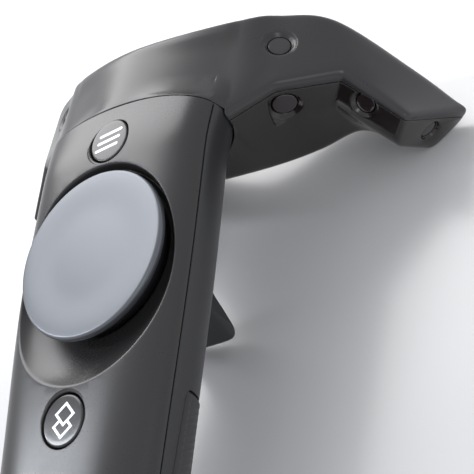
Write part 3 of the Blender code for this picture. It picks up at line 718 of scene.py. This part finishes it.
def build_handle():
    hollow = handle_skin("hollow", WALL, TAIL - 1.0, 43.0, 41, 60)
    below = arch_block("below", -GAP / 2)
    front, back = build_front(hollow, below), build_back(hollow, below)
    for y in SCREWS_Y:
        add_screw_place(front, back, y)
    place(front, ROOT, "front_shell")
    place(back, ROOT, "back_shell")
    discard(hollow, below)


def build_tail_cap():
    edge = ((0.0, 2.4), (0.15, 1.75), (0.45, 1.1), (0.9, 0.6), (1.6, 0.18), (2.4, 0.0), (4.4, 0.0))
    rings = [handle_ring(TAIL + along, squeeze=squeeze) for along, squeeze in edge]
    cap = loft("tail_cap", rings + [handle_ring(tail_y - GAP)], FACE)
    port_z = handle_section(TAIL)[2] - 4.0
    port_hole = prism("port_hole", stadium(3.0, 2.0, 13, (0.0, port_z)), 1, TAIL - 2, tail_y + 2)
    port_box = box("port_box", (-5.0, 5.0), (TAIL + 0.35, tail_y + 2), (port_z - 2.1, port_z + 2.1))
    carve(cap, (port_hole, "DIFFERENCE"), (port_box, "DIFFERENCE"))
    discard(port_hole, port_box)
    place(cap, ROOT, "end_cap")


# ------------------------------------------------------------------ head housings
def dimple(at, out, scale):
    """Cutter for a shallow dish with a bore for its window."""
    wide, bore = DIMPLE_R * scale, WINDOW_R * scale + 0.12
    profile = [(bore, -5.0), (bore, -1.1)] + fillet((bore, -1.0), (bore, -0.8), (bore + 0.2, -0.72), 4)
    profile += fillet((wide - 0.3, -0.22), (wide, 0.0), (wide + 0.35, 0.04), 6) + [(wide + 1.1, 0.9)]
    return turned("dimple", at, out, profile, 56)


def window(name, tag, at, out, scale, mat):
    r = WINDOW_R * scale
    glass = [(r * 0.97, -2.6), (r, -2.5), (r, -1.15)] + fillet((r, -0.95), (r, -0.74), (r - 0.22, -0.7), 5)
    glass += [(r * 0.7, -0.66), (r * 0.4, -0.64), (r * 0.12, -0.63)]
    place(turned(f"lens_{name}_{tag}", at, out, glass, 56, mat), ROOT, f"window_{name}_{tag}", angle=40)


def build_head():
    stations = spread(0.0, 1.0, 15)[:-1] + spread(1.0, 4.9, 70) + sorted(TIP_INSETS)
    coarse = spread(0.0, 1.0, 9)[:-1] + spread(1.0, 4.8, 32)
    hollow = head_loft("head_hollow", cavity_shape, coarse + [4.82])
    layer = head_loft("face_layer", layer_shape(FACE_LAYER), coarse + [TIP, TIP + 0.2])
    layer_gap = head_loft("face_layer_gap", layer_shape(FACE_LAYER + GAP), coarse + [TIP, TIP + 0.2])
    below_gap = arch_block("below_gap", GAP / 2)
    neck = handle_skin("neck_tool", -GAP, -20.0, 38.0, 40, 132)
    carve(neck, (below_gap, "INTERSECT"))
    top = head_loft("head_face_housing", outer_shape, stations, FACE)
    low = head_loft("head_lower_housing", outer_shape, stations, UNDER)
    for name, (centre, normal), scale, carrier in WINDOWS:
        shell, glass = (top, LENS_FACE) if carrier == "top" else (low, LENS)
        for side, tag in ((1, "right"), (-1, "left")):
            at, out = V(side * centre.x, centre.y, centre.z), V(side * normal.x, normal.y, normal.z)
            hole = dimple(at, out, scale)
            carve(shell, (hole, "DIFFERENCE"))
            discard(hole)
            window(name, tag, at, out, scale, glass)
    carve(top, (neck, "DIFFERENCE"), (layer, "INTERSECT"), (hollow, "DIFFERENCE"))
    carve(low, (neck, "DIFFERENCE"), (layer_gap, "DIFFERENCE"), (hollow, "DIFFERENCE"))
    place(top, ROOT, "head_top_shell")
    place(low, ROOT, "head_bottom_shell")
    discard(hollow, layer, layer_gap, below_gap, neck)


# ------------------------------------------------------------------ trackpad
def build_trackpad():
    rim = [(0.6, -PAD_THICK), (PAD_R - 1.4, -PAD_THICK)]
    rim += fillet((PAD_R - 1.1, -PAD_THICK), (PAD_R - 0.2, -PAD_THICK + 0.1), (PAD_R, -PAD_THICK + 0.9), 6)
    rim += fillet((PAD_R, -0.7), (PAD_R, 0.0), (PAD_R - 0.8, 0.0), 8)
    for k in range(1, 12):
        t = k / 12
        rim.append(((PAD_R - 0.8) * (1 - t), -PAD_DISH * ease(t * 2)))
    rim.append((0.3, -PAD_DISH))
    place(turned("touch_disc", (0, 0, 0), (0, 0, 1), rim, 180, TOUCH), "trackpad", "trackpad_disc")
    seat = -PAD_THICK - 0.08
    skirt = [(1.0, -6.8), (2.8, -6.8), (3.0, -6.6), (3.0, -6.3), (14.6, -6.2)]
    skirt += fillet((14.8, -6.2), (15.2, -6.15), (15.35, -5.8), 5)
    skirt += fillet((16.9, -3.0), (17.1, -2.6), (16.8, seat), 5) + [(1.0, seat)]
    place(turned("touch_skirt", (0, 0, 0), (0, 0, 1), skirt, 120, SKIRT), "trackpad", "trackpad_skirt")


# ------------------------------------------------------------------ face buttons
def button_cap(name, y):
    """Round key cap; gives back the height of its face."""
    top = front_height(0, y) - 0.12
    shape = [(0.5, -5.2), (1.6, -5.2), (1.6, -2.2), (BUTTON_R - 0.1, -2.2), (BUTTON_R, -2.1)]
    shape += fillet((BUTTON_R, -0.4), (BUTTON_R, 0.0), (BUTTON_R - 0.45, 0.0), 6)
    shape += [(3.6, 0.02), (2.6, 0.04), (1.6, 0.05), (0.3, 0.05)]
    cap = turned(name + "_cap", (0, y, top), (0, 0, 1), shape, 96, CAPS)
    place(cap, name + "_key", name + "_button", angle=35)
    return top


def build_menu_key(y):
    """Cap with three leaning bars."""
    top = button_cap("menu", y)
    lean = math.radians(8.8)
    bar = stadium(2.75, 0.33, 9)
    for k in (-1, 0, 1):
        placed = [(k * 0.36 + a * math.cos(lean) - b * math.sin(lean),
                   y + k * 1.7 + a * math.sin(lean) + b * math.cos(lean)) for a, b in bar]
        piece = prism(f"menu_bar_{k + 1}", placed, 2, top - GLYPH_DEPTH, top + GLYPH_RISE, GLYPH)
        place(piece, "menu_key", *(["menu_icon"] if k == 0 else []))


def diamond(cx, cy, across, along):
    return [(cx, cy - along), (cx + across, cy), (cx, cy + along), (cx - across, cy)]


def build_system_key(y):
    """Cap with two square outlines, the upper one lying over the lower."""
    top = button_cap("system", y)
    squares, voids = [], []
    for k, (cx, cy) in enumerate(((0.3, y + 1.15), (0.15, y - 1.15))):
        outline = diamond(cx, cy, 2.5, 2.3)
        squares.append(prism(f"system_square_{k}", outline, 2, top - GLYPH_DEPTH, top + GLYPH_RISE, GLYPH))
        voids.append(prism("void", diamond(cx, cy, 1.76, 1.62), 2, top - 1.0, top + 1.0))
    cover = prism("cover", diamond(0.3, y + 1.15, 2.52, 2.32), 2, top - 1.0, top + 1.0)
    carve(squares[0], (voids[0], "DIFFERENCE"))
    carve(squares[1], (voids[1], "DIFFERENCE"), (cover, "DIFFERENCE"))
    discard(cover, *voids)
    place(squares[0], "system_key", "system_icon")
    place(squares[1], "system_key")


# ------------------------------------------------------------------ trigger
# Side outline, from over the pivot down the finger side to the tip and back up the palm side
PROFILE = [(11.0, -14.6), (13.0, -16.4), (13.2, -18.6), (12.0, -20.4), (9.2, -21.5), (5.4, -25.8),
           (1.8, -30.0), (-0.6, -34.5), (-2.2, -37.4), (-3.4, -39.2), (-4.8, -39.6), (-6.2, -38.4),
           (-8.4, -34.8), (-11.0, -30.4), (-14.6, -26.6), (-16.6, -24.0), (-16.2, -21.4), (-12.0, -19.0),
           (-3.0, -16.8), (5.0, -16.0)]
LEVER_MIDDLE = (-3.0, -26.0)
LEVER_ENDS = ((1.0, 0.945), (0.988, 0.966), (0.96, 0.984), (0.92, 0.995), (0.87, 1.0))


def soft_loop(points, steps=4):
    """Loop rounded through its corners."""
    out = []
    n = len(points)
    for i in range(n):
        a, b, c, d = (Vector(points[(i + k) % n]) for k in (-1, 0, 1, 2))
        for s in range(steps):
            out.append(tuple(curve(a, b, c, d, s / steps)))
    return out


def lever_ring(loop, side, share, k):
    """One outline of the lever: a share of the half width, slimmer toward the palm edge."""
    my, mz = LEVER_MIDDLE
    ring = []
    for a, b in loop:
        slim = 1.0 - 0.22 * ease((-5.4 - a) / 4.5) * ease((-23.0 - b) / 3.0)
        ring.append((side * share * TRIG_HALF * slim, my + (a - my) * k, mz + (b - mz) * k))
    return ring


def build_trigger():
    loop = soft_loop(PROFILE)
    rows = [lever_ring(loop, -1, share, k) for share, k in LEVER_ENDS]
    rows += [lever_ring(loop, 1, share, 1.0) for share in (-0.5, 0.0, 0.5)]
    rows += [lever_ring(loop, 1, share, k) for share, k in reversed(LEVER_ENDS)]
    lever = loft("trigger_lever", rows, TRIG)
    bore = turned("bore", (0, TRIG_Y, TRIG_Z), (1, 0, 0), [(1.5, -12), (1.5, 12)], 32)
    pocket = box("pocket", (-2.6, 2.6), (-10.6, -5.4), (TRIG_Z - 5.6, TRIG_Z + 4.0))
    carve(lever, (bore, "DIFFERENCE"), (pocket, "DIFFERENCE"))
    discard(bore, pocket)
    place(lever, "trigger_lever", "trigger", angle=32)


# ------------------------------------------------------------------ squeeze pads
def ribbed_reach(y, z, edge):
    """Half width of the pad's skin: slanted ribs, rolled down at the pad's edge."""
    roll = 0.35 - 0.55 * (1 - ease(edge / 0.7))
    wave = 0.5 + 0.5 * math.cos(2 * math.pi * (y + 0.35 * z) / 1.25)
    groove = 0.22 * (1 - wave ** 1.5) * ease((edge - 0.7) / 0.8)
    return side_reach(y, z) + roll - groove


def build_squeeze_pad(side, name):
    bm = bmesh.new()
    ys = spread(GRIP_TOP - GRIP_LENGTH, GRIP_TOP, 181)
    zs = spread(GRIP_LOW, GRIP_HIGH, 33)
    outer, inner = [], []
    for z in zs:
        out_row, in_row = [], []
        for y in ys:
            edge = min(y - ys[0], ys[-1] - y, z - zs[0], zs[-1] - z)
            out_row.append(bm.verts.new(TO_ROW @ Vector((side * ribbed_reach(y, z, edge), y, z))))
            in_row.append(bm.verts.new(TO_ROW @ Vector((side * side_reach(y, z, WALL), y, z))))
        outer.append(out_row)
        inner.append(in_row)
    for grid in (outer, inner):
        for r in range(len(zs) - 1):
            for c in range(len(ys) - 1):
                bm.faces.new((grid[r][c], grid[r][c + 1], grid[r + 1][c + 1], grid[r + 1][c]))
    for c in range(len(ys) - 1):
        for r in (0, len(zs) - 1):
            bm.faces.new((outer[r][c], outer[r][c + 1], inner[r][c + 1], inner[r][c]))
    for r in range(len(zs) - 1):
        for c in (0, len(ys) - 1):
            bm.faces.new((outer[r][c], outer[r + 1][c], inner[r + 1][c], inner[r][c]))
    place(new_object(f"{name}_squeeze_pad", bm, GRIP), f"{name}_grip", f"{name}_grip_button", angle=45)


# ------------------------------------------------------------------ carried-over nodes
FINISHES = {"trackpad_frame": SKIRT, "trackpad_switch": STEEL, "menu_switch": CHIP, "system_switch": CHIP,
            "trigger_pin": STEEL, "trigger_spring": STEEL, "trigger_bracket": STEEL, "trigger_magnet": MAGNET,
            "hall_sensor": CHIP, "left_grip_switch": CHIP, "right_grip_switch": CHIP, "main_board": BOARD,
            "processor": CHIP, "radio_module": CAN, "battery": CELL, "haptic_motor": CAN,
            "head_board": BOARD, "flex_cable": FLEX, "usb_port": STEEL, "screw_upper": STEEL,
            "screw_lower": STEEL}


def recolour_nodes():
    for name, mat in FINISHES.items():
        node = nodes[name]
        node.data.materials.clear()
        node.data.materials.append(mat)


# ------------------------------------------------------------------ floor, light, camera
def build_floor():
    bm = bmesh.new()
    bmesh.ops.create_grid(bm, x_segments=8, y_segments=8, size=3.0)
    floor = new_object("floor", bm)
    floor.location = (0, 0, -0.0002)
    mat, tree, bsdf = nodes_of("pale_floor")
    noise = tree.nodes.new("ShaderNodeTexNoise")
    noise.inputs["Scale"].default_value = 3.0
    ramp = tree.nodes.new("ShaderNodeMix")
    ramp.data_type = "RGBA"
    ramp.inputs["A"].default_value = (0.8, 0.8, 0.81, 1)
    ramp.inputs["B"].default_value = (0.84, 0.84, 0.85, 1)
    tree.links.new(noise.outputs["Fac"], ramp.inputs["Factor"])
    tree.links.new(ramp.outputs["Result"], bsdf.inputs["Base Color"])
    bsdf.inputs["Roughness"].default_value = 0.22
    bsdf.inputs["Specular IOR Level"].default_value = 0.6
    floor.data.materials.append(mat)


def build_world():
    world = bpy.data.worlds.new("studio")
    scene.world = world
    world.use_nodes = True
    background = world.node_tree.nodes["Background"]
    background.inputs["Color"].default_value = (0.97, 0.98, 1.0, 1)
    background.inputs["Strength"].default_value = 0.62


def area(name, at, aim, size, power, colour=(1, 1, 1)):
    lamp = bpy.data.lights.new(name, "AREA")
    lamp.shape = "RECTANGLE"
    lamp.size, lamp.size_y = size
    lamp.energy = power
    lamp.color = colour
    obj = bpy.data.objects.new(name, lamp)
    obj.location = at
    obj.rotation_euler = (Vector(aim) - Vector(at)).to_track_quat("-Z", "Y").to_euler()
    scene.collection.objects.link(obj)


def build_camera():
    """Camera at the photograph's angle, placed in controller axes."""
    lens = bpy.data.cameras.new("camera")
    lens.lens, lens.sensor_width, lens.sensor_fit = 68.35, 36.0, "HORIZONTAL"
    lens.clip_start, lens.clip_end = 0.01, 20.0
    camera = bpy.data.objects.new("camera", lens)
    scene.collection.objects.link(camera)
    scene.camera = camera
    eye = TO_ROW @ Vector((118.9, -71.3, 110.8))
    backward = (TO_ROW.to_3x3() @ Vector((0.540, -0.436, 0.720))).normalized()
    right = (TO_ROW.to_3x3() @ Vector((0.822, 0.086, -0.563))).normalized()
    right = (right - backward * right.dot(backward)).normalized()
    upward = backward.cross(right)
    turn = Matrix((right, upward, backward)).transposed().to_4x4()
    camera.matrix_world = Matrix.Translation(eye) @ turn


scene = bpy.context.scene
build_handle()
build_tail_cap()
build_head()
build_trackpad()
build_menu_key(MENU_Y)
build_system_key(SYSTEM_Y)
build_trigger()
for side, name in ((-1, "left"), (1, "right")):
    build_squeeze_pad(side, name)
recolour_nodes()

build_floor()
build_world()
area("key", (-0.9, 1.1, 1.1), (0, 0, 0.03), (1.3, 1.3), 22.0)
area("strip", (-0.74, 0.02, 0.7), (0, -0.02, 0.03), (0.07, 0.5), 2.4, (0.9, 0.95, 1.0))
area("fill", (0.75, -0.55, 0.8), (0, 0, 0.03), (0.5, 0.35), 1.2, (0.88, 0.93, 1.0))
build_camera()
scene.view_settings.view_transform = "Standard"

bpy.context.view_layer.update()
